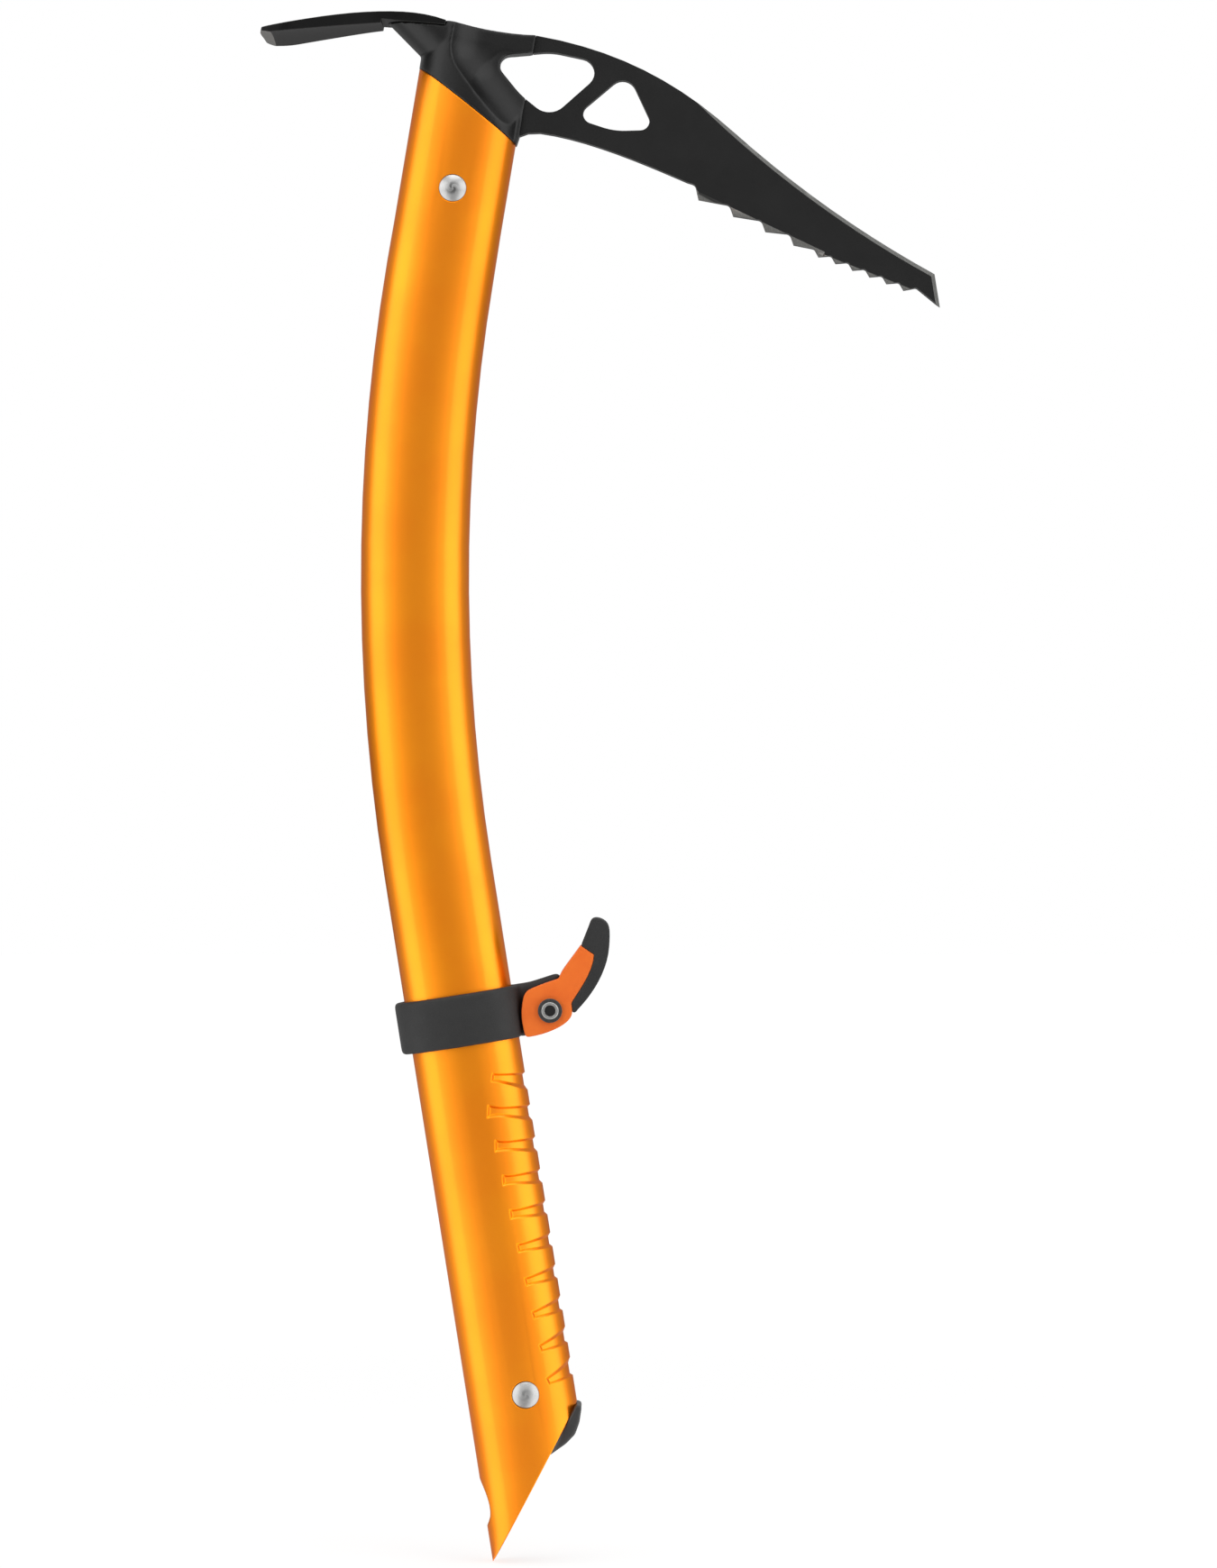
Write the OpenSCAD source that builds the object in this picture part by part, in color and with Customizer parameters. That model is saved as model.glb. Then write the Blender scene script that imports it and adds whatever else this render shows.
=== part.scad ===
// Ice climbing tool: a bent oval tube with a forged head, a toothed pick, an adze and a sliding finger rest.
// Millimetres. The origin is the grip's centre on the tube's axis, +Z is up and +X is the pick's side.

/* [Shaft] */
// Depth of the tube from front to back
tube_depth = 31.4; // [28:0.2:38]
// Width of the tube across its sides
tube_width = 21.8; // [20:0.2:24]
// Wall of the tube
wall = 1.5; // [1.2:0.1:2]
// Backward lean of the grip, in degrees
grip_lean = 9; // [0:0.5:14]
// Straight grip above the grip's centre
grip_up = 106.9; // [106:0.1:130]
// Radius of the bend, at the axis
bend_r = 540; // [430:10:700]
// Angle of the bend, in degrees
bend_angle = 18.5; // [12:0.5:24]
// Straight length above the bend, at the axis
top_len = 47.8; // [44:0.1:70]
// Slant of the tube's top end, in degrees from square
top_slant = 29; // [24:0.5:32]

/* [Spike] */
// Point of the spike below the grip's centre
spike_drop = 94.3; // [90:0.1:112]
// Angle between the spike's bevel and the tube's axis, in degrees
spike_angle = 36.6; // [34:0.1:42]
// Diameter of the leash hole
leash_d = 11.4; // [9:0.1:12]
// Leash hole above the spike's point, along the tube's back
leash_up = 17.5; // [15:0.1:18.5]

/* [Grip grooves] */
// Number of grooves
groove_count = 10; // [4:1:10]
// Distance between grooves
groove_pitch = 9.9; // [8:0.1:10.4]
// Depth of a groove
groove_depth = 0.8; // [0.3:0.1:0.9]
// How far a groove's walls lean out from its floor to the tube's surface
groove_lean = 0.8; // [0.4:0.1:1]
// Height of a groove at its back end, on the tube's surface
groove_back_h = 2.4; // [2.2:0.1:3]
// Height of a groove at the front of the tube
groove_front_h = 3.9; // [3:0.1:5]
// Tilt of the first and the last groove, in degrees
groove_fan = 13.7; // [0:0.1:16]

/* [Pick] */
// Thickness of the pick
pick_t = 4; // [3:0.1:5]
// Height of the first tooth
tooth_first_h = 4.1; // [3:0.1:5]
// Height of the coarse teeth
tooth_coarse_h = 3; // [2:0.1:3.6]
// Height of the fine teeth
tooth_fine_h = 2.1; // [1.5:0.1:2.6]
// Step between the fine teeth
tooth_fine_step = 5.3; // [4.6:0.1:5.4]
// Radius at the foot of a coarse tooth
tooth_coarse_r = 1.5; // [0.8:0.1:2]
// Radius at the foot of a fine tooth
tooth_fine_r = 1.1; // [0.6:0.1:1.4]
// Width of the ground bevel along the pick's back and its end
edge_bevel = 1.1; // [0.6:0.1:1.6]
// Width of the ground bevel on the coarse teeth
coarse_bevel = 2; // [1:0.1:2.4]
// Width of the ground bevel on the fine teeth
fine_bevel = 1.2; // [0.6:0.1:1.6]
// How deep the bevels of the back and the teeth go into each side of the pick
bevel_depth = 0.9; // [0.4:0.1:1.1]
// How deep the bevel of the pick's end goes into each side
end_bevel_depth = 1.3; // [1.2:0.1:1.4]

/* [Adze] */
// Width of the adze at its tip
adze_w = 36; // [28:1:50]
// Thickness of the adze at its root
adze_t = 2.9; // [2.5:0.1:3.5]
// Radius of the crown across the adze and the top of the head
crown_r = 150; // [120:10:300]

/* [Rivets] */
// Diameter of a rivet's shank
rivet_d = 5; // [4:0.1:6]
// Diameter of a rivet's head
rivet_head_d = 8; // [7:0.1:9]
// Height of a rivet's head
rivet_head_h = 1.3; // [0.8:0.1:2]

/* [Finger rest] */
// Height of the strap along the grip
strap_h = 15.2; // [12:0.1:18]
// Thickness of the strap
strap_t = 2.7; // [2.2:0.1:3.4]
// Middle of the strap above the grip's centre
strap_up = 62.5; // [0:0.1:95]
// Gap between the strap and the tube
strap_gap = 0.3; // [0.2:0.05:0.5]
// Lever's pivot in front of the tube
pivot_out = 10.1; // [10:0.1:12]
// Width of the lever
lever_w = 15; // [13:0.5:18]
// Thickness of each of the lever's cheeks
cheek_t = 3.5; // [2.5:0.1:4]
// Gap between the tongue and the lever's cheeks
tongue_gap = 0.3; // [0.2:0.05:0.5]
// Diameter of the pivot sleeve
sleeve_d = 5; // [4.4:0.1:6]
// Running clearance of the tongue on the sleeve, in radius
sleeve_clear = 0.05; // [0.02:0.01:0.1]
// Diameter of the pivot screw's thread
screw_d = 3; // [2.5:0.1:3.6]
// Diameter of the pivot screw's head and the sleeve's head
screw_head_d = 7; // [6:0.1:8]
// Height of the pivot screw's head
screw_head_h = 1.5; // [1:0.1:2]

/* [Hidden] */
$fn = 96;
// Past the edge of anything that a cut goes through
over = 1;
// Larger than the whole tool
far = 400;
// The tube's section is a four-arc oval on a 7, 24, 25 triangle of this unit, so that its arcs
// meet at round numbers
oval_unit = round((tube_depth - tube_width) / 0.12) / 100;
end_r = tube_width / 2 - oval_unit;
end_x = 7 * oval_unit;
side_y = 24 * oval_unit;
side_r = end_r + 25 * oval_unit;
half_depth = end_x + end_r;
half_width = side_r - side_y;
// Where the front arc meets the side arcs, and the tube's side at x: its point and its way out
arcs_meet = end_x + end_r * 7 / 25;
function side_angle(x) = x > arcs_meet ? acos((x - end_x) / end_r) : acos(x / side_r);
function side_point(x) = [x, x > arcs_meet ? end_r * sin(side_angle(x)) : side_r * sin(side_angle(x)) - side_y];
function turned_way(angle) = [cos(angle), sin(angle)];
// How far the straight top is drawn in, all round
top_draw = 0.12;
// Flat seat of a rivet's head, below the crown of the tube's side
rivet_sink = 0.35;
rivet_seat = half_width - rivet_sink;
// Middle of the head rivet below the top cut, on the axis
head_rivet_drop = 24.7;
// Middle of the end rivet, from the grip's centre and the axis
end_rivet_at = [1.5, -47.1];
// Back ends of the grooves from the tube's axis: the topmost one, the second and the last
groove_backs = [6.2, 3.4, 8.4];
// Half thickness of the head's two arms
arm_half = 4;
// How far the pick's two lugs go into the arms
lug_len = 6;
// The plane where the pick leaves the head's arms
pick_root = 16.3;
// Head body's rim above the tube's end
collar_h = 2;
// Half thickness of the tang, and its length below the top cut
tang_half = 3.5;
tang_len = 36;
// Depth of the full plug at the tang's top
tang_plug = 13;
// Gap round the tang and the end plug, inside the tube
inside_gap = 0.05;
// End plug's top and bottom face, from the grip's centre
plug_top = -38;
plug_bottom = -65.6;
// The plug's nose below the bevel, in the side view, and its width
plug_nose = [[17.4, -50], [17.1, -52.9], [15.6, -57.7], [13.8, -61], [10.7, -63.3], [4, -66.6], [4, -50]];
plug_nose_w = 15;
// Lever's tongue slot, around the pivot
slot_r = 11.15;
tongue_w = lever_w - 2 * cheek_t - 2 * tongue_gap;
pivot_at = [half_depth + pivot_out, strap_up - 1.3];
// What the cheeks sweep round the pivot, with a gap, and how far below it they hang straight down
cheek_sweep = pivot_out - 0.95;
cheek_hang = 2;
// Reach of the screw's thread into the sleeve
thread_len = 11;
// The screw's flange, below the top of its head, and the raised middle with its socket
flange_step = 0.4;
button_d = 4.8;
socket_af = 3;
socket_floor = 0.3;

// Outlines in the side view
function unit(v) = v / norm(v);
function turn(a) = a > 180 ? a - 360 : a < -180 ? a + 360 : a;
// Points of the arc that rounds the corner p between a and b
function corner_arc(a, p, b, r, n) =
    let (
        u = unit(a - p),
        w = unit(b - p),
        half = acos(u * w) / 2,
        c = p + unit(u + w) * r / sin(half),
        s = p + u * r / tan(half) - c,
        e = p + w * r / tan(half) - c,
        first = atan2(s[1], s[0]),
        sweep = turn(atan2(e[1], e[0]) - first)
    )
    [for (i = [0:n]) c + r * [cos(first + sweep * i / n), sin(first + sweep * i / n)]];
function flat(p) = [p[0], p[1]];
// An outline from corners given as [x, z, radius]
function rounded(corners, n = 8) =
    let (last = len(corners) - 1)
    [
        for (i = [0:last])
            let (
                p = corners[i],
                a = flat(corners[i == 0 ? last : i - 1]),
                b = flat(corners[i == last ? 0 : i + 1])
            )
            each (p[2] > 0 ? corner_arc(a, flat(p), b, p[2], n) : [flat(p)])
    ];
// Points of a cubic curve
function curve(p, n = 10) =
    [
        for (i = [0:n])
            let (t = i / n, s = 1 - t)
            s ^ 3 * p[0] + 3 * s ^ 2 * t * p[1] + 3 * s * t ^ 2 * p[2] + t ^ 3 * p[3]
    ];
function total(list, n) = n <= 0 ? [0, 0] : list[n - 1] + total(list, n - 1);
function angle_to(v) = atan2(v[1], v[0]);
// Centre of the arc from a to b that bulges to the right of that way
function arc_centre(a, b, r) =
    let (way = b - a)
    (a + b) / 2 + unit([-way[1], way[0]]) * sqrt(r ^ 2 - norm(way) ^ 2 / 4);
function arc(a, b, r, n = 10) =
    let (
        c = arc_centre(a, b, r),
        first = angle_to(a - c),
        sweep = turn(angle_to(b - c) - first)
    )
    [for (i = [0:n]) c + r * [cos(first + sweep * i / n), sin(first + sweep * i / n)]];
function sharp(points) = [for (p = points) [p[0], p[1], 0]];

// Large and small clip hole, in the head's frame
big_hole = [[4.1, 15.3, 3], [21.4, 19.8, 20], [39, 19, 4.2], [24.1, 0.6, 6], [14.6, 6, 25]];
small_hole = [[44.1, 17.6, 4], [54.6, 2.4, 2.7], [43, 0.1, 20], [30.8, 2, 2.8]];

// Teeth: tips along the pick's lower edge, first the coarse steps, then the fine ones
coarse_steps = [11.2, 10.3, 9.1, 8];
fine_teeth = 5;
coarse_fall = 16;
fine_fall = 12;
first_tip = [70.5, -15.4];
tooth_lean = 1.6;
tip_steps = [
    for (s = coarse_steps) s * [cos(coarse_fall), -sin(coarse_fall)],
    for (i = [1:fine_teeth]) tooth_fine_step * [cos(fine_fall), -sin(fine_fall)],
];
tips = [for (i = [0:len(tip_steps)]) first_tip + total(tip_steps, i)];
function tooth_h(i) = i == 0 ? tooth_first_h : i < len(coarse_steps) ? tooth_coarse_h : tooth_fine_h;
function tooth_r(i) = i < len(coarse_steps) ? tooth_coarse_r : tooth_fine_r;
function tooth(i) = [
    [tips[i][0], tips[i][1], 0],
    [tips[i][0] - tooth_lean, tips[i][1] + tooth_h(i), tooth_r(i)],
];
pick_tip = [144.7, -34.6];
pick_top_corner = [141.6, -25.4];
pick_bend = [77.9, 5.3];
// Hollow arc of the pick's back, from the bend to the top corner
back_r = 313;
// The arms' and the pick's top and bottom edge where they meet
root_top = [pick_root, 23.7];
root_foot = [pick_root, -5.9];
pick_outline = rounded([
    each sharp(curve([root_top, [40, 23.5], [58.6, 17.4], pick_bend])),
    each sharp(arc(pick_bend, pick_top_corner, back_r)),
    [pick_tip[0], pick_tip[1], 0],
    [137, -30.2, tooth_fine_r],
    for (i = [len(tips) - 1:-1:0]) each tooth(i),
    each sharp(curve([[66.5, -11], [54, -7.9], [36, -3.4], [22, -3.9]])),
    [18.6, -4.6, 0],
    [root_foot[0], root_foot[1], 0],
], 5);
// Lugs of the pick inside the head's arms
lugs = [
    [[pick_root - lug_len, 20.2], [pick_root, 20.2], [pick_root, 22.2], [pick_root - lug_len, 21.6]],
    [[pick_root - lug_len, -1.5], [pick_root, -3], [pick_root, 2.6], [pick_root - lug_len, 3.2]],
];

// Adze seat on the head and the adze's own side profile, in the head's frame
seat_back = [-25.7, 23.3 - adze_t];
seat_front = [-10, 21.6];
adze_end = [-10, 23.2];
// How much the adze's crowned underside is ground off to sit on its flat seat
seat_grind = 0.4;
seat_way = seat_back - seat_front;
adze_tip = [-63.4, 11.6];
// The adze's ground edge: its thickness, and where the bevel on the underside starts
adze_edge = 0.4;
bevel_start = [-59.2, 11.2];
adze_profile = [
    each curve([adze_end, [-24, 25.8], [-40, 20.2], adze_tip], 14),
    adze_tip - [0, adze_edge],
    each curve([bevel_start, [-52, 13], [-40, 16.4], seat_back - [0, seat_grind]]),
    seat_front - [0, seat_grind],
];
adze_neck = 9;
adze_half_plan = [
    [adze_end[0], 9.8, 0], [-28, adze_neck, 30], [-55, adze_w / 2, 7], [-61.6, adze_w / 2 - 2.2, 4],
];
adze_plan = [
    each adze_half_plan,
    [-63, 0, 60],
    for (i = [len(adze_half_plan) - 1:-1:0])
        let (p = adze_half_plan[i])
        [p[0], -p[1], p[2]],
];

// Round spine that leads from the tube's back up under the adze: its radius, its lean, and where
// its axis starts
spine_r = 9.5;
spine_lean = 54;
spine_up = 16.6;
// Head body in the side view; the slanted cut and the spine trim its lower and back edge
body_outline = [
    [-half_depth - over, -half_depth],
    [-half_depth - over, seat_back[1] - half_width],
    [seat_back[0] - half_width / 2, seat_back[1] - half_width / 2],
    seat_back + seat_way / 4 + [0, over],
    adze_end,
    each curve([[-6, 23.2], [2, 22.9], [9, 22.6], root_top], 6),
    root_foot,
    [half_depth - over, -half_depth],
];
// Hollow of the head's sides, cut by a ball: its radius, how far it goes below the arms' faces, where
// its upright run meets the slanted one, and the lean of that run
hollow_r = 12;
hollow_sink = 0.1;
hollow_turn = [2.9, 17.6];
hollow_lean = 47;
// Deeper end of the slanted run, below the upper arm
trough_sink = 1.2;
trough_top = [9, 12.5];

// Lever, pad and tongue, from the pivot
lever_outline = [
    each curve([[6.3, -1.3], [6, -4.6], [-1, -6.6], [-7, -6.6]]),
    each curve([[-7.2, -6.6], [-8, -6.6], [-8.3, -6.1], [-8.3, -5.2]], 4),
    each curve([[-8.3, -5], [-8.8, -2], [-8.4, 1.8], [-7, 5]]),
    each curve([[-6.9, 5.2], [-6.4, 6.2], [-5.6, 6.8], [-4.4, 7.1]], 5),
    each curve([[-4.2, 7.15], [-1.4, 7.9], [1, 8.3], [3.9, 8.75]], 6),
    each curve([[4.4, 9.6], [5.2, 11], [8.6, 14], [11.7, 17.2]]),
    each curve([[15.1, 14], [14, 9], [9.5, 4.8], [6.5, 1.3]]),
];
pad_outline = [
    each curve([[7.9, -1], [12.8, 2.6], [18.2, 8.6], [19.8, 15.6]]),
    each curve([[19.85, 15.8], [20.5, 18.6], [20.9, 20.6], [20.4, 22]], 5),
    each curve([[20.35, 22.1], [19.9, 23.3], [18.2, 24.4], [17, 24.4]], 5),
    each curve([[16.9, 24.4], [15.9, 24.4], [15.4, 23.4], [14.9, 22.4]], 4),
    [11.7, 17],
    [11, 10],
    [6, 2],
    each curve([[6, -1], [6.6, -2.2], [7.3, -1.7], [7.85, -1.1]], 5),
];
tongue_outline = [
    [-half_depth, 8.9, 0], [-4.6, 8.9, 12], [3.6, 10.2, 0.5], [4.6, 9.4, 0.4], [3.6, 7, 1], [5.4, 2, 3],
    [4.2, -3.4, 4], [-3, -5.6, 6], [-half_depth, -6.1, 0],
];

// Frames: children are drawn with x to the front and z along the tube
module in_grip() {
    rotate([0, -grip_lean, 0]) children();
}
// Past the bend, from the grip's frame
module past_bend() {
    translate([bend_r, 0, grip_up]) rotate([0, bend_angle, 0]) translate([-bend_r, 0, 0]) children();
}
module in_head() {
    in_grip() past_bend() translate([0, 0, top_len]) children();
}
module at_pivot() {
    in_grip() translate([pivot_at[0], 0, pivot_at[1]]) children();
}
// A side view, as thick as t, across the tube
module plate(t) {
    rotate([90, 0, 0]) linear_extrude(t, center = true) children();
}
// A side view turned about the crown's axis, so that it falls off to both sides
module crowned(outline) {
    half_turn = asin((max(adze_w, tube_width) / 2 + over) / (crown_r - tube_depth));
    translate([0, 0, -crown_r])
        rotate([0, 90, 0])
            rotate_extrude(angle = 2 * half_turn, start = 180 - half_turn)
                polygon([for (p = outline) [p[1] + crown_r, p[0]]]);
}
// A cylinder across the tube, from y = from to y = to, at a point of the side view
module across(at, d, from, to) {
    translate([at[0], from, at[1]]) rotate([-90, 0, 0]) cylinder(d = d, h = to - from);
}
// Its children on both sides of the middle plane
module on_both_sides() {
    for (k = [0, 1]) mirror([0, k, 0]) children();
}

// The tube's section, grown all round
module oval(grow = 0) {
    touch_x = end_x + (end_r + grow) * 7 / 25;
    touch_y = (end_r + grow) * 24 / 25;
    square([2 * touch_x, 2 * touch_y], center = true);
    for (k = [-1, 1]) {
        intersection() {
            translate([k * end_x, 0]) circle(r = end_r + grow);
            translate([k * (touch_x + tube_depth), 0]) square(2 * tube_depth, center = true);
        }
        intersection() {
            translate([0, -k * side_y]) circle(r = side_r + grow);
            translate([0, k * (touch_y + tube_depth)])
                square([4 * tube_depth, 2 * tube_depth], center = true);
        }
    }
}
module bar(grow, from, to) {
    translate([0, 0, from]) linear_extrude(to - from) oval(grow);
}

// The whole bent bar, in the grip's frame
module bent_bar(grow, past) {
    bar(grow, -spike_drop - past, grip_up);
    translate([bend_r, 0, grip_up])
        rotate([90, 0, 0])
            mirror([1, 0, 0])
                rotate_extrude(angle = bend_angle)
                    translate([bend_r, 0]) oval(grow);
    past_bend() bar(grow - top_draw, -over, top_len + tube_depth);
}

// Everything above the tube's slanted end, in the head's frame
module above_cut(lift = 0) {
    translate([0, 0, lift]) rotate([0, top_slant, 0]) translate([-far / 2, -far / 2, 0]) cube(far);
}
// Everything below the spike's bevel, in the grip's frame
module below_bevel() {
    translate([-half_depth, 0, -spike_drop])
        rotate([0, spike_angle, 0])
            translate([0, -far / 2, -far / 2]) cube(far);
}
// What lies below a groove's upper wall, which leans out all round and rises to the front
module below_groove_top(half_h, rise) {
    slope = groove_lean / groove_depth;
    inner = end_r - 2 * groove_depth;
    outer = end_r + 2 * over;
    translate([end_x, 0, 0])
        rotate([0, -rise, 0])
            rotate_extrude()
                polygon([
                    [0, -tube_depth],
                    [outer, -tube_depth],
                    [outer, half_h + slope * (outer - end_r)],
                    [inner, half_h + slope * (inner - end_r)],
                    [0, half_h + slope * (inner - end_r)],
                ]);
}
// A pressed groove round the tube's front, from its back end at x = back on either side
module groove(back) {
    rise = atan((groove_front_h - groove_back_h) / 2 / (half_depth - back));
    half_h = groove_back_h / 2 + (end_x - back) * tan(rise);
    out = turned_way(side_angle(back));
    end_wall = 1.3 * (groove_lean * [out[1], -out[0]] - groove_depth * out);
    deep = side_point(back) + end_wall;
    high = side_point(back) - end_wall;
    intersection() {
        below_groove_top(half_h, rise);
        mirror([0, 0, 1]) below_groove_top(half_h, rise);
        translate([0, 0, -tube_depth / 2])
            linear_extrude(tube_depth)
                polygon([
                    deep, high, [half_depth + over, high[1]],
                    [half_depth + over, -high[1]], [high[0], -high[1]], [deep[0], -deep[1]],
                ]);
    }
}
// The bar between the grooves is left when these are cut
module grooves() {
    middle = (groove_count - 1) / 2;
    difference() {
        for (i = [0:groove_count - 1]) {
            side = (middle - i) / middle;
            share = (i - 1) / (groove_count - 2);
            back = i == 0 ? groove_backs[0] : groove_backs[1] + (groove_backs[2] - groove_backs[1]) * share;
            translate([half_depth / 2, 0, groove_pitch * (middle - i)])
                rotate([0, groove_fan * side, 0])
                    translate([-half_depth / 2, 0, 0]) groove(back);
        }
        bar(-groove_depth, -spike_drop, grip_up - over);
    }
}

module rivet_holes(at) {
    across(at, rivet_d, -tube_width, tube_width);
    across(at, rivet_head_d, rivet_seat, tube_width);
    across(at, rivet_head_d, -tube_width, -rivet_seat);
}
// A rivet with two low domed heads
module rivet(at) {
    dome_r = (rivet_head_d ^ 2 / 4 + rivet_head_h ^ 2) / (2 * rivet_head_h);
    across(at, rivet_d, -rivet_seat, rivet_seat);
    for (k = [-1, 1])
        difference() {
            intersection() {
                translate([at[0], k * (rivet_seat + rivet_head_h - dome_r), at[1]]) sphere(dome_r);
                across(at, rivet_head_d + over, min(k, 0) * 2 * rivet_seat, max(k, 0) * 2 * rivet_seat);
            }
            across(at, rivet_head_d + 2 * over, -rivet_seat, rivet_seat);
        }
}

module shaft() {
    color("orange") difference() {
        in_grip() difference() {
            bent_bar(0, over);
            bent_bar(-wall, 2 * over);
            below_bevel();
            grooves();
            rivet_holes(end_rivet_at);
            translate([-half_depth, 0, leash_up - spike_drop])
                rotate([0, 90 + spike_angle, 0])
                    cylinder(d = leash_d, h = 2 * tube_depth, center = true);
        }
        in_head() {
            above_cut();
            rivet_holes([0, -head_rivet_drop]);
        }
    }
}

// A round-ended cut along the hollow's slanted run, from its top down
module slanted_run(top, sink) {
    run = 2 * tube_depth;
    translate([top[0], arm_half - sink + hollow_r, top[1]])
        rotate([0, 180 - hollow_lean, 0])
            rotate_extrude()
                intersection() {
                    union() {
                        circle(hollow_r);
                        translate([-hollow_r, 0]) square([2 * hollow_r, run]);
                    }
                    translate([0, -run]) square([run, 3 * run]);
                }
}
// What the ball takes from one side of the head; its upright run is a little narrower
module hollow() {
    slanted_run(hollow_turn, hollow_sink);
    slanted_run(trough_top, trough_sink);
    translate([hollow_turn[0], arm_half - hollow_sink + hollow_r, hollow_turn[1]])
        cylinder(r = hollow_r - hollow_sink, h = tube_depth);
}
// In front of the ball's path, where only the arms are left
module before_hollow() {
    run = 2 * tube_depth;
    low = hollow_turn + run * [sin(hollow_lean), -cos(hollow_lean)];
    translate([0, arm_half - over + tube_width, 0])
        rotate([90, 0, 0])
            linear_extrude(tube_width)
                polygon([hollow_turn, low, [low[0], run], [hollow_turn[0], run]]);
}
// Above and below the adze's flat seat
module above_seat() {
    back = seat_back + seat_way;
    plate(far) polygon([seat_front, adze_end + [0, over], back + [0, tube_depth], back]);
}
module below_seat() {
    back = seat_back + seat_way / 6;
    front = seat_front - seat_way / 6;
    low = [0, -tube_depth];
    plate(far) polygon([back, front, front + low, back + low]);
}
// The head's mass above the tube, between the adze's seat and the pick's root
module forging() {
    difference() {
        union() {
            difference() {
                union() {
                    bar(0, -tube_depth, tube_depth);
                    translate([-end_x, 0, spine_up])
                        rotate([0, -spine_lean, 0])
                            cylinder(r = spine_r, h = tube_depth);
                }
                on_both_sides() before_hollow();
            }
            translate([-end_x, -arm_half, -tube_depth]) cube([2 * tube_depth, 2 * arm_half, 2 * tube_depth]);
        }
        on_both_sides() hollow();
    }
}

module head_body() {
    color("dimgray") in_head() difference() {
        union() {
            intersection() {
                forging();
                crowned(body_outline);
                above_cut();
                difference() {
                    cube(far, center = true);
                    above_seat();
                }
            }
            intersection() {
                bar(0, -tube_depth, tube_depth);
                difference() {
                    above_cut();
                    above_cut(collar_h);
                }
            }
            difference() {
                bar(-wall - top_draw - inside_gap, -tang_plug, tang_plug);
                above_cut();
            }
            intersection() {
                bar(-wall - top_draw - inside_gap, -tang_len, -tang_plug + over);
                cube([tube_depth, 2 * tang_half, far], center = true);
            }
        }
        plate(far) polygon(rounded(big_hole));
        across([0, -head_rivet_drop], rivet_d, -tube_width, tube_width);
        for (l = lugs) plate(pick_t) polygon(l);
    }
}

// Section of a bevel's cut: w wide from an edge at z = 0 inward, on one side of the pick
function bevel_cut(w, depth) =
    let (side = pick_t / 2, slope = depth / w)
    [[side, w], [side - depth - slope * over, -over], [side + over, -over], [side + over, w]];
// Bevel along a straight edge from a to b, with the pick on its left
module straight_bevel(a, b, w, depth) {
    translate([a[0], 0, a[1]])
        rotate([0, -angle_to(b - a), 0])
            translate([-over, 0, 0])
                rotate([90, 0, 90])
                    linear_extrude(norm(b - a) + 2 * over) polygon(bevel_cut(w, depth));
}
// Bevel along the hollow arc of the pick's back, which runs out behind the bend
module back_bevel() {
    run_out = 5;
    c = arc_centre(pick_bend, pick_top_corner, back_r);
    first = angle_to(pick_bend - c) - run_out;
    last = angle_to(pick_top_corner - c) + run_out;
    translate([c[0], 0, c[1]])
        rotate([90, 0, 0])
            rotate_extrude(angle = last - first, start = first)
                polygon([for (p = bevel_cut(edge_bevel, bevel_depth)) [back_r + p[1], p[0]]]);
}

module pick_blade() {
    turn_tip = tips[len(coarse_steps)];
    last_tip = tips[len(tips) - 1];
    color("#2b2b2b") in_head() difference() {
        union() {
            plate(pick_t) polygon(pick_outline);
            for (l = lugs) plate(pick_t) polygon(l);
        }
        plate(far) polygon(rounded(big_hole));
        plate(far) polygon(rounded(small_hole));
        on_both_sides() {
            back_bevel();
            straight_bevel(pick_tip, pick_top_corner, edge_bevel, end_bevel_depth);
            straight_bevel(first_tip, turn_tip, coarse_bevel, bevel_depth);
            straight_bevel(turn_tip, last_tip, fine_bevel, bevel_depth);
        }
    }
}

module adze() {
    color("#303030") in_head() difference() {
        intersection() {
            crowned(adze_profile);
            linear_extrude(2 * tube_depth, center = true) polygon(rounded(adze_plan));
        }
        below_seat();
    }
}

module head_rivet() {
    color("silver") in_head() rivet([0, -head_rivet_drop]);
}
module end_rivet() {
    color("silver") in_grip() rivet(end_rivet_at);
}

module end_plug() {
    color("#222222") in_grip() {
        difference() {
            bar(-wall - inside_gap, plug_bottom, plug_top);
            below_bevel();
            across(end_rivet_at, rivet_d, -tube_width, tube_width);
        }
        intersection() {
            plate(plug_nose_w) polygon(plug_nose);
            below_bevel();
        }
    }
}

// Beside the tongue, the room that the lever's cheeks turn in
module cheek_room() {
    reach = tube_depth;
    across(pivot_at, 2 * cheek_sweep, tongue_w / 2, reach);
    translate([pivot_at[0] - cheek_sweep, tongue_w / 2, pivot_at[1] - cheek_hang - reach]) cube(reach);
}

module rest_band() {
    foot = strap_up - strap_h / 2;
    top = strap_up + strap_h / 2;
    color("#1e1e1e") in_grip() difference() {
        union() {
            difference() {
                bar(strap_gap + strap_t, foot, top);
                on_both_sides() cheek_room();
            }
            translate([pivot_at[0], 0, pivot_at[1]]) plate(tongue_w) polygon(rounded(tongue_outline));
        }
        bar(strap_gap, foot - over, top + over);
        across(pivot_at, sleeve_d + 2 * sleeve_clear, -lever_w, lever_w);
    }
}

module rest_lever() {
    color("orangered") at_pivot() difference() {
        plate(lever_w) polygon(lever_outline);
        across([0, 0], 2 * slot_r, cheek_t - lever_w / 2, lever_w / 2 - cheek_t);
        across([0, 0], sleeve_d, -lever_w, lever_w);
    }
}

module lever_pad() {
    color("#1e1e1e") at_pivot() difference() {
        plate(lever_w) polygon(pad_outline);
        plate(lever_w + 2 * over) polygon(lever_outline);
    }
}

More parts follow.
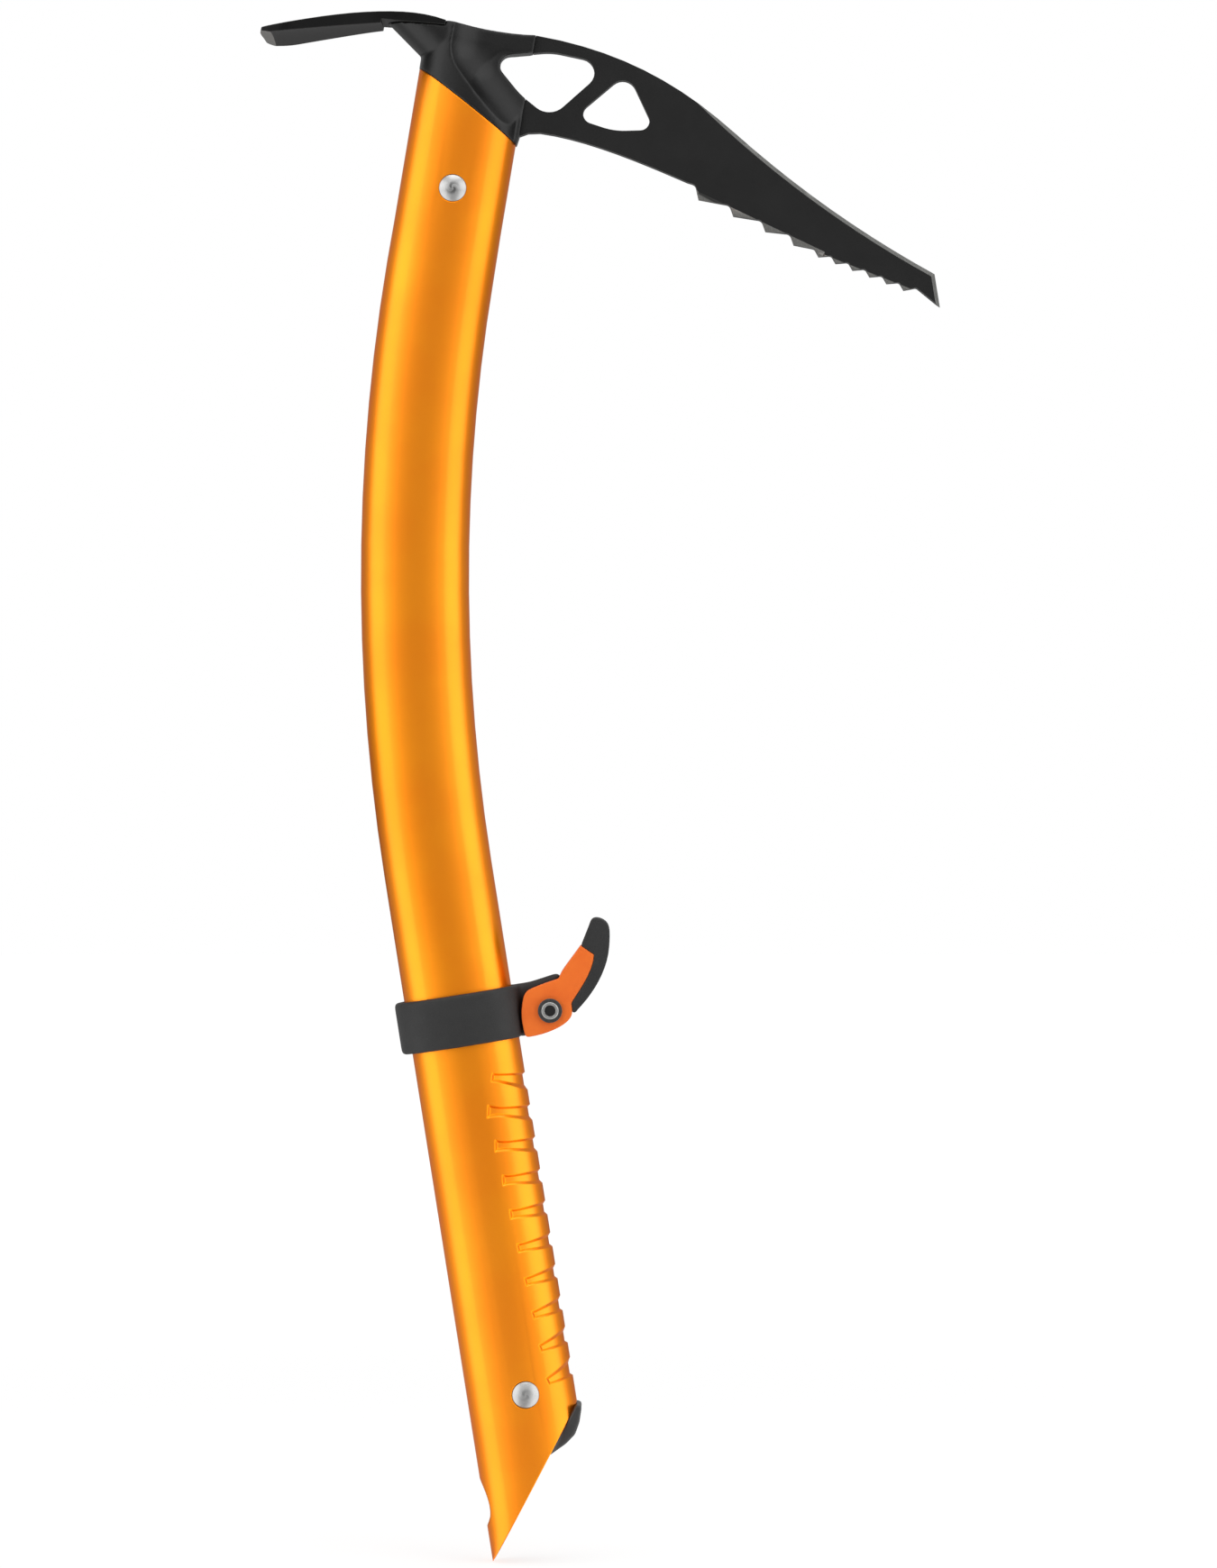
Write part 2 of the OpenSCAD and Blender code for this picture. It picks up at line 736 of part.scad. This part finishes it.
module pivot_screw() {
    seat = -lever_w / 2;
    color("#555555") at_pivot() difference() {
        union() {
            across([0, 0], screw_head_d, seat - screw_head_h + flange_step, seat);
            across([0, 0], button_d, seat - screw_head_h, seat);
            across([0, 0], screw_d, seat, seat + thread_len);
        }
        translate([0, seat - screw_head_h - over, 0])
            rotate([-90, 0, 0])
                cylinder(d = socket_af / cos(30), h = screw_head_h + over - socket_floor, $fn = 6);
    }
}

module pivot_nut() {
    color("#555555") at_pivot() difference() {
        union() {
            across([0, 0], sleeve_d, -lever_w / 2, lever_w / 2);
            across([0, 0], screw_head_d, lever_w / 2, lever_w / 2 + screw_head_h - flange_step);
            across([0, 0], button_d, lever_w / 2, lever_w / 2 + screw_head_h);
        }
        across([0, 0], screw_d, -lever_w, thread_len - lever_w / 2 + over);
    }
}

shaft();
head_body();
pick_blade();
adze();
head_rivet();
end_plug();
end_rivet();
rest_band();
rest_lever();
lever_pad();
pivot_screw();
pivot_nut();
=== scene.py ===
import math

import bpy
from mathutils import Matrix, Vector
from mathutils.kdtree import KDTree


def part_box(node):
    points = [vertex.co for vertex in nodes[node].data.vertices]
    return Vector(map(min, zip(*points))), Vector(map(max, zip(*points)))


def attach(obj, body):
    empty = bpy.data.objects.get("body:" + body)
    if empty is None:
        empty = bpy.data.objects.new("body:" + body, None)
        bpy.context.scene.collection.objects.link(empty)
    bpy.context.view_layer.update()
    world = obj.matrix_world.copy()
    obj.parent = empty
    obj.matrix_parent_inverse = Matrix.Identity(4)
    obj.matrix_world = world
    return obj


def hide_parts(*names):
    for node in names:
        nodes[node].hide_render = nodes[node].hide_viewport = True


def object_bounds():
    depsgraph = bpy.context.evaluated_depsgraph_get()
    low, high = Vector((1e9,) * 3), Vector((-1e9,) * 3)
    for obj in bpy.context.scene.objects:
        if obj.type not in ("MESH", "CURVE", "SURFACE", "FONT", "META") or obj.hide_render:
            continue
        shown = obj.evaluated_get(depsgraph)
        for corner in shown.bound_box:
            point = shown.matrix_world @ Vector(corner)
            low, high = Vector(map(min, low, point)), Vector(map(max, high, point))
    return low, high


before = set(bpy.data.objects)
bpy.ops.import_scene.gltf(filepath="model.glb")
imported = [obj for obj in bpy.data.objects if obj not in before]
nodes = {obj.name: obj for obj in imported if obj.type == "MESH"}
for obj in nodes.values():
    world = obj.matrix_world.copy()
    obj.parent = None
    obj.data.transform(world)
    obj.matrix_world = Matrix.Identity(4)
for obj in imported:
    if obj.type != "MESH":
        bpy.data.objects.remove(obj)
cad_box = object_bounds()

MM = 0.001
FULL_TURN = 2 * math.pi
ACROSS = Vector((0.0, 1.0, 0.0))

# Detail of a noise that has small lumps on its lumps
FINE = 3.0

# Faces that meet at less than this are one smooth surface
SMOOTH_ANGLE = math.radians(16)

# Places and angles of the CAD model
ADZE_BEVEL_START = -64.6 * MM
GRIP_LEAN = math.radians(9)
GRIP_FRONT = Vector((math.cos(GRIP_LEAN), 0.0, math.sin(GRIP_LEAN)))
GRIP_UP = Vector((-math.sin(GRIP_LEAN), 0.0, math.cos(GRIP_LEAN)))
HEAD_LEAN = math.radians(9.5)
HEAD_UP = Vector((math.sin(HEAD_LEAN), 0.0, math.cos(HEAD_LEAN)))
TOP_JOINT = Vector((-15.947, 0.0, 279.18)) * MM
FIRST_FINE_TIP = Vector((93.75, 0.0, 282.88)) * MM
LAST_FINE_TIP = Vector((118.41, 0.0, 273.17)) * MM
PICK_SIDE = 2.0 * MM


class Flow:
    """A socket of a finish's node tree. Arithmetic on it adds Math nodes."""

    def __init__(self, finish, socket):
        self.finish = finish
        self.socket = socket

    def math(self, operation, *values):
        """A Math node on these values."""
        node = self.finish.add("ShaderNodeMath", {"operation": operation}, dict(enumerate(values)))
        return Flow(self.finish, node.outputs[0])

    def __add__(self, other):
        return self.math("ADD", self, other)

    def __radd__(self, other):
        return self.math("ADD", other, self)

    def __sub__(self, other):
        return self.math("SUBTRACT", self, other)

    def __rsub__(self, other):
        return self.math("SUBTRACT", other, self)

    def __mul__(self, other):
        return self.math("MULTIPLY", self, other)

    def __rmul__(self, other):
        return self.math("MULTIPLY", other, self)

    def __truediv__(self, other):
        return self.math("DIVIDE", self, other)

    def __pow__(self, other):
        return self.math("POWER", self, other)

    def sized(self):
        """Without its sign."""
        return self.math("ABSOLUTE", self)

    def wave(self):
        """A sine wave between 0 and 1."""
        return self.math("SINE", self) * 0.5 + 0.5

    def held(self):
        """Clamped between 0 and 1."""
        node = self.finish.add("ShaderNodeClamp", {}, {"Value": self})
        return Flow(self.finish, node.outputs[0])


class Finish:
    """A node tree, of a material or the world, and the one method that adds its nodes."""

    def __init__(self, tree):
        self.tree = tree
        tree.nodes.clear()

    def add(self, kind, settings, sockets):
        """A new node: its settings first, then the values or links of its sockets."""
        node = self.tree.nodes.new(kind)
        for key, value in settings.items():
            setattr(node, key, value)
        for key, value in sockets.items():
            if isinstance(value, Flow):
                self.tree.links.new(value.socket, node.inputs[key])
            else:
                node.inputs[key].default_value = value
        return node

    def flow(self, kind, settings, sockets, out=0):
        """One output of a new node."""
        return Flow(self, self.add(kind, settings, sockets).outputs[out])

    def place(self):
        """Object coordinates, in metres."""
        return self.flow("ShaderNodeTexCoord", {}, {}, "Object")

    def facing(self):
        """The normal in object coordinates, as its three parts."""
        return self.parts(self.flow("ShaderNodeTexCoord", {}, {}, "Normal"))

    def parts(self, vector):
        """The three parts of a vector."""
        node = self.add("ShaderNodeSeparateXYZ", {}, {0: vector})
        return [Flow(self, socket) for socket in node.outputs]

    def stretched(self, scale):
        """Object coordinates, stretched."""
        sockets = {"Vector": self.place(), "Scale": scale}
        return self.flow("ShaderNodeMapping", {"vector_type": "TEXTURE"}, sockets)

    def noise(self, size, detail=2.0, vector=None):
        """Noise with lumps of about this size, in metres."""
        sockets = {"Vector": vector or self.place(), "Scale": 1 / size, "Detail": detail}
        return self.flow("ShaderNodeTexNoise", {"noise_dimensions": "3D"}, sockets)

    def clouds(self, size, detail=2.0):
        """Soft patches of about this size, from 0 to 1."""
        return self.between(self.noise(size, detail), 0.3, 0.7)

    def between(self, value, low, high):
        """0 up to low, 1 past high, smooth between; low may be the larger."""
        sockets = {"Value": value, "From Min": low, "From Max": high}
        return self.flow("ShaderNodeMapRange", {"interpolation_type": "SMOOTHSTEP"}, sockets)

    def blend(self, share, first, second):
        """A colour that goes from the first to the second as share goes from 0 to 1."""
        node = self.add("ShaderNodeMix", {"data_type": "RGBA"}, {0: share, 6: first, 7: second})
        return Flow(self, node.outputs[2])

    def rounded(self, radius):
        """The surface's normal with its edges rounded."""
        return self.flow("ShaderNodeBevel", {"samples": 8}, {"Radius": radius})

    def edges(self, soft):
        """1 along the edges that a rounded normal softens, 0 on even faces."""
        sharp = self.flow("ShaderNodeNewGeometry", {}, {}, "True Normal")
        product = {"operation": "DOT_PRODUCT"}
        agreement = self.flow("ShaderNodeVectorMath", product, {0: soft, 1: sharp}, "Value")
        on_face, on_edge = 0.995, 0.9
        return self.between(agreement, on_face, on_edge)

    def worn_and_highlit(self, low, high):
        """1 on the raised edges of a densely meshed piece."""
        return self.between(self.flow("ShaderNodeNewGeometry", {}, {}, "Pointiness"), low, high)

    def bump(self, height, depth, under=None):
        """A normal from a height of 0 to 1, depth metres high."""
        sockets = {"Height": height, "Distance": depth, "Strength": 1.0}
        if under:
            sockets["Normal"] = under
        return self.flow("ShaderNodeBump", {}, sockets)


def tint(code):
    """A colour written as in a paint chart, #rrggbb, turned by the standard curve into light."""
    levels = [int(code[i : i + 2], 16) / 255 for i in (1, 3, 5)]
    return (*[v / 12.92 if v <= 0.04045 else ((v + 0.055) / 1.055) ** 2.4 for v in levels], 1.0)


def finish_named(name):
    """A new material and its empty node tree."""
    material = bpy.data.materials.new(name)
    material.use_nodes = True
    return material, Finish(material.node_tree)


def surface(look, sockets):
    """Ends a material's node tree with its shader."""
    shader = look.flow("ShaderNodeBsdfPrincipled", {}, sockets, "BSDF")
    look.add("ShaderNodeOutputMaterial", {}, {"Surface": shader})


def anodised_orange():
    """Satin anodising on drawn aluminium: a fine grain and faint clouds."""
    material, look = finish_named("anodised_orange")
    grain = look.noise(0.35 * MM, FINE)
    surface(look, {
        "Base Color": look.blend(look.clouds(24 * MM, FINE), tint("#f4890f"), tint("#f79111")),
        "Metallic": 0.92,
        "Roughness": 0.31 + grain * 0.08,
        "Specular Tint": tint("#dca41a"),
        "Coat Weight": 0.26,
        "Coat Roughness": 0.2,
        "Normal": look.bump(grain, 0.006 * MM, look.rounded(0.5 * MM)),
    })
    return material


def black_steel(name, dark, light, gloss, satin, pale_steel_of):
    """Satin black coating on steel, with a fine peel.

    The last argument gives where the steel shows pale: uncoated where ground or dented, and along
    the edges as edge wear and painted highlight. It also gives the normal under the peel.
    """
    material, look = finish_named(name)
    coating = look.blend(look.clouds(11 * MM, FINE), tint(dark), tint(light))
    peel = look.noise(0.45 * MM, FINE)
    pale_steel, under = pale_steel_of(look)
    surface(look, {
        # Pale steel: uncoated where ground or dented, and along the edges partly edge wear, partly
        # painted highlight
        "Base Color": look.blend(pale_steel, coating, tint("#8c8c89")),
        "Metallic": pale_steel * 0.6,
        "Roughness": satin + peel * 0.12,
        "Specular IOR Level": gloss,
        "Normal": look.bump(peel, 0.015 * MM, under),
    })
    return material


def grinding_lines(look, along):
    """Fine lines left by the wheel, stretched along an axis."""
    return look.noise(0.25 * MM, vector=look.stretched(along))


def ground_pick(look):
    """The pick's bevels are ground: they lean, between its flat sides and its upright rim."""
    soft = look.rounded(0.25 * MM)
    sideways = look.facing()[1].sized()
    leaning = look.between(sideways, 0.99, 0.97) * look.between(sideways, 0.3, 0.6)
    lines = grinding_lines(look, (1, 1, 9))
    # The edges are paler too: partly edge wear, partly painted highlight
    return (leaning * (0.25 + lines * 0.5) + look.edges(soft) * 0.2).held(), soft


def ground_adze(look):
    """The adze's edge is ground from below, behind the line where the bevel starts."""
    soft = look.rounded(0.4 * MM)
    x = look.parts(look.place())[0]
    behind_line = look.between(x, ADZE_BEVEL_START + 0.1 * MM, ADZE_BEVEL_START)
    downward = look.between(look.facing()[2], -0.2, -0.4)
    lines = grinding_lines(look, (9, 1, 1))
    pale_steel = behind_line * downward * (0.4 + lines * 0.5)
    # The edges are paler too: partly edge wear, partly painted highlight
    return (pale_steel + look.edges(soft) * 0.15).held(), soft


def plain_forging(look):
    """Coated all over; small dents of the die."""
    dents = look.noise(2.2 * MM)
    return look.between(dents, 0.78, 0.9) * 0.1, look.bump(dents, 0.05 * MM)


def rubber(name, dark, light):
    """Matt elastomer: a fine moulded grain and slightly paler raised edges, partly edge wear and
    partly painted highlight.
    """
    material, look = finish_named(name)
    grain = look.noise(0.4 * MM)
    colour = look.blend(look.clouds(9 * MM), tint(dark), tint(light))
    surface(look, {
        # Paler raised edges: partly edge wear, partly painted highlight
        "Base Color": look.blend(look.worn_and_highlit(0.56, 0.7) * 0.3, colour, tint("#3b3b3b")),
        "Roughness": 0.5 + grain * 0.2,
        "Specular IOR Level": 0.35,
        "Normal": look.bump(grain, 0.03 * MM),
    })
    return material


def black_plastic():
    """Moulded black plastic with a fine grain."""
    material, look = finish_named("plug_plastic")
    grain = look.noise(0.3 * MM)
    surface(look, {
        "Base Color": look.blend(look.clouds(7 * MM), tint("#242424"), tint("#2b2b2b")),
        "Roughness": 0.36 + grain * 0.15,
        "Specular IOR Level": 0.5,
        "Normal": look.bump(grain, 0.02 * MM),
    })
    return material


def moulded_orange():
    """Moulded lever: an even orange, a fine grain, edges a little paler, partly rubbed wear and
    partly painted highlight.
    """
    material, look = finish_named("moulded_orange")
    grain = look.noise(0.3 * MM)
    colour = look.blend(look.clouds(6 * MM), tint("#ee6a14"), tint("#f4741c"))
    surface(look, {
        # Paler raised edges: partly rubbed wear, partly painted highlight
        "Base Color": look.blend(look.worn_and_highlit(0.53, 0.62) * 0.4, colour, tint("#f88c3c")),
        "Roughness": 0.42 + grain * 0.12,
        "Specular IOR Level": 0.4,
        "Normal": look.bump(grain, 0.02 * MM),
    })
    return material


def middle(name):
    """The middle of a CAD node's box."""
    low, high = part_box(name)
    return [(a + b) / 2 for a, b in zip(low, high)]


def from_axis(look, centre):
    """Distance from an axis along Y through centre, and the angle round it."""
    x, _, z = look.parts(look.place())
    across, up = x - centre[0], z - centre[2]
    return (across * across + up * up) ** 0.5, up.math("ARCTAN2", up, across)


def turning_rings(radius, pitch):
    """Rings left by the lathe, this far apart."""
    return (radius * (FULL_TURN / pitch)).wave()


def formed_rivet(node, swirled):
    """Rivet head of bright aluminium: faint rings, and a swirl where the tool closed it."""
    material, look = finish_named(node + "_metal")
    radius, angle = from_axis(look, middle(node))
    rings = turning_rings(radius, 0.4 * MM)
    scuff = look.noise(0.6 * MM, FINE)
    swirl = (angle * 2 + radius * (FULL_TURN / (2.2 * MM)) + scuff * 2).wave()
    pressed = look.between(radius, 2.3 * MM, 0.6 * MM) * look.between(swirl, 0.2, 0.9) * swirled
    colour = look.blend(scuff * 0.5 + rings * 0.12, tint("#949493"), tint("#bebebe"))
    relief = rings * 0.06 + scuff * 0.2 - pressed
    surface(look, {
        "Base Color": look.blend(pressed, colour, tint("#5c5c5b")),
        "Metallic": 1.0,
        "Roughness": 0.28 + scuff * 0.1,
        "Normal": look.bump(relief, 0.06 * MM, look.rounded(0.25 * MM)),
    })
    return material


def turned_zinc(name, node, socket_shade):
    """Dark zinc: a dark flange, a paler middle that is a painted highlight and, where it has one, a
    socket painted black as painted shade.
    """
    material, look = finish_named(name)
    radius, _ = from_axis(look, middle(node))
    scuff = look.noise(0.4 * MM, FINE)
    rings = turning_rings(radius, 0.3 * MM)
    # Painted highlight: the middle of the head is paler, as the lit rim round the socket
    highlit_middle = look.between(radius, 2.5 * MM, 2.4 * MM)
    # Painted shade: the socket is painted black and made less metallic
    socket = look.between(radius, 1.75 * MM, 1.55 * MM) * socket_shade
    flange = look.blend(scuff, tint("#3a3a3a"), tint("#5e5e5e"))
    colour = look.blend(highlit_middle, flange, tint("#a6a6a4"))
    surface(look, {
        "Base Color": look.blend(socket, colour, tint("#141414")),
        "Metallic": 1 - socket * 0.8,
        "Roughness": 0.24 + scuff * 0.14,
        "Normal": look.bump(rings * 0.1 + scuff * 0.2, 0.03 * MM, look.rounded(0.3 * MM)),
    })
    return material


def coated(piece, material):
    """Gives a piece one material all over."""
    piece.data.materials.clear()
    piece.data.materials.append(material)


def pick_up(piece):
    """Makes a piece the active one, and the only one selected."""
    bpy.ops.object.select_all(action="DESELECT")
    bpy.context.view_layer.objects.active = piece
    piece.select_set(True)


def copied(node, name):
    """A copy of a CAD node, picked up."""
    piece = bpy.data.objects.new(name, nodes[node].data.copy())
    bpy.context.scene.collection.objects.link(piece)
    pick_up(piece)
    return piece


def merged(piece):
    """The piece in hand, with its loose faces joined."""
    bpy.ops.object.mode_set(mode="EDIT")
    bpy.ops.mesh.select_all(action="SELECT")
    bpy.ops.mesh.remove_doubles(threshold=0.001 * MM)
    bpy.ops.object.mode_set(mode="OBJECT")
    return piece


def apply_modifier(kind, **settings):
    """Adds a modifier to the piece in hand and applies it."""
    modifier = bpy.context.object.modifiers.new(kind.lower(), kind)
    for key, value in settings.items():
        setattr(modifier, key, value)
    bpy.ops.object.modifier_apply(modifier=modifier.name)


def softened(piece, grid, rounds):
    """A merged piece with all its edges rounded, as forged or moulded."""
    apply_modifier("REMESH", mode="VOXEL", voxel_size=grid)
    apply_modifier("SMOOTH", factor=0.5, iterations=rounds)
    bpy.ops.object.shade_smooth()
    return piece


def cut_away(piece, centre, size, axes):
    """Cuts a block, given by its middle, size and three axes, out of a piece."""
    bpy.ops.object.select_all(action="DESELECT")
    bpy.ops.mesh.primitive_cube_add(size=1)
    block = bpy.context.object
    turned = Matrix(axes).transposed().to_4x4()
    block.matrix_world = Matrix.Translation(centre) @ turned @ Matrix.Diagonal((*size, 1.0))
    pick_up(piece)
    apply_modifier("BOOLEAN", operation="DIFFERENCE", object=block, solver="EXACT")
    bpy.data.objects.remove(block)


def stands_for(piece, node, body, material):
    """Puts a finished piece in the place of a CAD node."""
    coated(piece, material)
    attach(piece, body)
    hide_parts(node)


def blunt_plug():
    """The end plug with its nose cut blunt just below the tube's front edge."""
    nose = (GRIP_FRONT * 14.92 - GRIP_UP * 52.2) * MM
    fall = math.radians(27.1) - GRIP_LEAN
    along = Vector((math.cos(fall), 0.0, -math.sin(fall)))
    above = Vector((math.sin(fall), 0.0, math.cos(fall)))
    block = 12 * MM
    behind_nose = 0.3 * MM
    piece = merged(copied("end_plug", "moulded_plug"))
    centre = nose + (block / 2 - behind_nose) * along + block / 2 * above
    cut_away(piece, centre, (block, 3 * block, block), (along, ACROSS, above))
    return softened(piece, 0.3 * MM, 30)


def toothed_pick():
    """The pick with its fine teeth ground on both sides, as its coarse ones are."""
    width, depth = 1.2 * MM, 0.9 * MM
    past_last = 3.2 * MM
    block = 5 * MM
    way = (LAST_FINE_TIP - FIRST_FINE_TIP).normalized()
    inward = Vector((-way.z, 0.0, way.x))
    length = (LAST_FINE_TIP - FIRST_FINE_TIP).length + past_last
    piece = merged(copied("pick_blade", "toothed_pick"))
    for hand in (1.0, -1.0):
        slope = (width * inward + hand * depth * ACROSS).normalized()
        out = (width * hand * ACROSS - depth * inward).normalized()
        edge = FIRST_FINE_TIP + way * length / 2 + hand * (PICK_SIDE - depth) * ACROSS
        centre = edge + slope * math.hypot(width, depth) / 2 + out * block / 2
        cut_away(piece, centre, (length, block, block), (-hand * way, slope, out))
    bpy.ops.object.shade_smooth_by_angle(angle=SMOOTH_ANGLE)
    return piece


def smooth_joints(mesh, facing, normals):
    """Averages, at each corner of a merged mesh, the normals that meet there almost in line.

    facing finds the corners that the normals belong to by their place.
    """
    touching = 0.004 * MM
    in_line = math.cos(SMOOTH_ANGLE)
    own_share = 0.001
    meeting = [
        [normals[corner] for _, corner, _ in facing.find_range(vertex.co, touching)]
        for vertex in mesh.vertices
    ]
    smoothed = []
    for face in mesh.polygons:
        for i in face.vertices:
            own = max(meeting[i], key=face.normal.dot, default=face.normal)
            near = [normal for normal in meeting[i] if normal.dot(own) > in_line]
            kinds = {tuple(round(part, 2) for part in normal): normal for normal in near}
            smoothed.append(sum(kinds.values(), own * own_share).normalized())
    mesh.normals_split_custom_set(smoothed)


def drawn_tube():
    """The shaft, smooth over its joints.

    The step below its straight top is drawn out into a long taper: its rim moves up.
    """
    taper = 12 * MM
    joint_slack = 0.03 * MM
    lift = taper * HEAD_UP
    piece = copied("shaft", "drawn_tube")
    mesh = piece.data
    normals = [corner.vector.copy() for corner in mesh.corner_normals]
    level = [(vertex.co - TOP_JOINT).dot(HEAD_UP) for vertex in mesh.vertices]
    at_joint = [abs(height) < joint_slack for height in level]

    def spot(i):
        return tuple(round(part / MM, 2) for part in mesh.vertices[i].co)

    facing = KDTree(len(mesh.loops))
    rim = set()
    for face in mesh.polygons:
        if all(at_joint[i] for i in face.vertices):
            continue
        on_top = max(level[i] for i in face.vertices) > MM
        for corner, i in zip(face.loop_indices, face.vertices):
            lifted = on_top and at_joint[i]
            place = mesh.vertices[i].co
            facing.insert(place + lift if lifted else place, corner)
            if lifted:
                rim.add(spot(i))
    facing.balance()
    for i, vertex in enumerate(mesh.vertices):
        if spot(i) in rim:
            vertex.co += lift
    smooth_joints(merged(piece).data, facing, normals)
    return piece


# Finishes, and the CAD nodes that keep their shape
orange = anodised_orange()
pick_steel = black_steel(
    "pick_steel", "#101010", "#151515", gloss=0.25, satin=0.36, pale_steel_of=ground_pick)
head_steel = black_steel(
    "head_steel", "#0b0b0b", "#101010", gloss=0.3, satin=0.3, pale_steel_of=plain_forging)
adze_steel = black_steel(
    "adze_steel", "#0b0b0b", "#101010", gloss=0.1, satin=0.4, pale_steel_of=ground_adze)
strap_rubber = rubber("strap_rubber", "#1e1e1e", "#242424")
lever_orange = moulded_orange()

coated(nodes["adze"], adze_steel)
coated(nodes["head_rivet"], formed_rivet("head_rivet", swirled=0.85))
coated(nodes["end_rivet"], formed_rivet("end_rivet", swirled=0.35))
# The screw's socket is painted black as painted shade; the nut's face has none
coated(nodes["pivot_screw"], turned_zinc("screw_zinc", "pivot_screw", socket_shade=1.0))
coated(nodes["pivot_nut"], turned_zinc("nut_zinc", "pivot_nut", socket_shade=0.0))

# Node, piece, body, slot, finish, grid of the remesh and rounds of smoothing
for node, name, body, slot, material, grid, rounds in (
    ("head_body", "forged_head", "axe", "black_steel", head_steel, 0.32 * MM, 14),
    ("rest_band", "moulded_strap", "finger_rest", "black_rubber", strap_rubber, 0.32 * MM, 80),
    ("lever_pad", "moulded_pad", "lever", "black_rubber", strap_rubber, 0.22 * MM, 14),
    ("rest_lever", "moulded_lever", "lever", "orange_plastic", lever_orange, 0.22 * MM, 12),
):
    piece = softened(merged(copied(node, name)), grid, rounds)
    stands_for(piece, node, body, material)

stands_for(toothed_pick(), "pick_blade", "axe", pick_steel)
stands_for(blunt_plug(), "end_plug", "axe", black_plastic())
stands_for(drawn_tube(), "shaft", "axe", orange)


def ray_kinds(look, *kinds):
    """1 for each of these kinds of ray, else 0."""
    rays = look.add("ShaderNodeLightPath", {}, {})
    return [Flow(look, rays.outputs[f"Is {kind} Ray"]) for kind in kinds]


def mirrored_room(look, depth):
    """How bright the room looks in metal, from the viewer's side (depth -1) to the far side (1)."""
    in_front, beside, behind = 0.66, 1.26, 0.56
    turned_aside = look.between(depth, -0.985, -0.86)
    turned_back = look.between(depth, -0.2, 0.4)
    return in_front + (beside - in_front) * turned_aside - (beside - behind) * turned_back


def studio():
    """White surroundings, dimmer on the viewer's side."""
    diffuse_level = 0.5
    world = bpy.data.worlds.new("studio")
    bpy.context.scene.world = world
    world.use_nodes = True
    look = Finish(world.node_tree)
    seen, mirrored, through = ray_kinds(look, "Camera", "Glossy", "Transmission")
    depth = look.parts(look.flow("ShaderNodeTexCoord", {}, {}, "Generated"))[1]
    other = 1 - (seen + through + mirrored).held()
    level = (seen + through).held() + mirrored * mirrored_room(look, depth) + other * diffuse_level
    shade = look.flow("ShaderNodeBackground", {}, {"Color": (1, 1, 1, 1), "Strength": level})
    look.add("ShaderNodeOutputWorld", {}, {"Surface": shade})


def lamp(name, place, size, watts):
    """A rectangular lamp turned to the middle of the tool."""
    target = Vector((0, 0, 0.15))
    light = bpy.data.lights.new(name, "AREA")
    light.shape = "RECTANGLE"
    light.size, light.size_y = size
    light.energy = watts
    piece = bpy.data.objects.new(name, light)
    bpy.context.scene.collection.objects.link(piece)
    piece.location = place
    piece.rotation_euler = (target - Vector(place)).to_track_quat("-Z", "Y").to_euler()


def pale_floor():
    """Matt, with a share of white that only the camera and mirroring metal see.

    In metal it looks like the room and the side lamps above it, and fades with distance.
    """
    white_share = 0.65
    near_white, far_white = 1.16, 1.35
    lamp_level = 1.2
    mirror_gain = 1.2
    material, look = finish_named("pale_floor")
    seen, mirrored = ray_kinds(look, "Camera", "Glossy")
    x, y, _ = look.parts(look.place())
    reach = (x * x + y * y) ** 0.5
    depth = y / reach
    lamps = look.between(depth, -0.9, -0.75) * look.between(depth, 0.08, -0.08)
    fading = look.between(reach, 2.4, 1.2)
    mirror_level = (mirrored_room(look, depth) + lamp_level * lamps) * fading
    white_level = far_white - (far_white - near_white) * look.between(reach, 1.5, 0.4)
    level = seen * white_level + mirrored * mirror_level * mirror_gain
    grey = look.flow("ShaderNodeCombineColor", {}, {0: level, 1: level, 2: level})
    matt = look.flow("ShaderNodeBsdfDiffuse", {}, {"Color": (0.86, 0.86, 0.86, 1)})
    white = look.flow("ShaderNodeEmission", {}, {"Color": grey, "Strength": 1.0})
    share = (seen + mirrored).held() * white_share
    both = look.flow("ShaderNodeMixShader", {}, {0: share, 1: matt, 2: white})
    look.add("ShaderNodeOutputMaterial", {}, {"Surface": both})
    return material


def floor(level):
    """A wide floor under the tool's lowest point."""
    bpy.ops.object.select_all(action="DESELECT")
    bpy.ops.mesh.primitive_plane_add(size=12, location=(0, 0, level))
    piece = bpy.context.object
    piece.name = "floor"
    bpy.ops.object.transform_apply(location=True, rotation=True, scale=True)
    coated(piece, pale_floor())


studio()
lamp("left_lamp", (-1.15, -0.61, 0.3), size=(1.38, 1.8), watts=9)
lamp("right_lamp", (1.15, -0.61, 0.3), size=(1.38, 1.8), watts=9)
lamp("top_lamp", (0.1, -0.3, 1.6), size=(1.2, 1.2), watts=8)
floor(cad_box[0][2])

# The camera stands square to the tool's side and sees this height at the tool
VIEW_DISTANCE = 1.7
VIEW_CENTRE = (0.0328, 0.130)
VIEW_HEIGHT = 0.4552

view = bpy.data.cameras.new("view")
view.sensor_width = 36.0
view.lens = view.sensor_width * VIEW_DISTANCE / VIEW_HEIGHT
camera = bpy.data.objects.new("view", view)
bpy.context.scene.collection.objects.link(camera)
camera.location = (VIEW_CENTRE[0], -VIEW_DISTANCE, VIEW_CENTRE[1])
camera.rotation_euler = (math.radians(90), 0, 0)
bpy.context.scene.camera = camera

bpy.context.scene.view_settings.view_transform = "Standard"
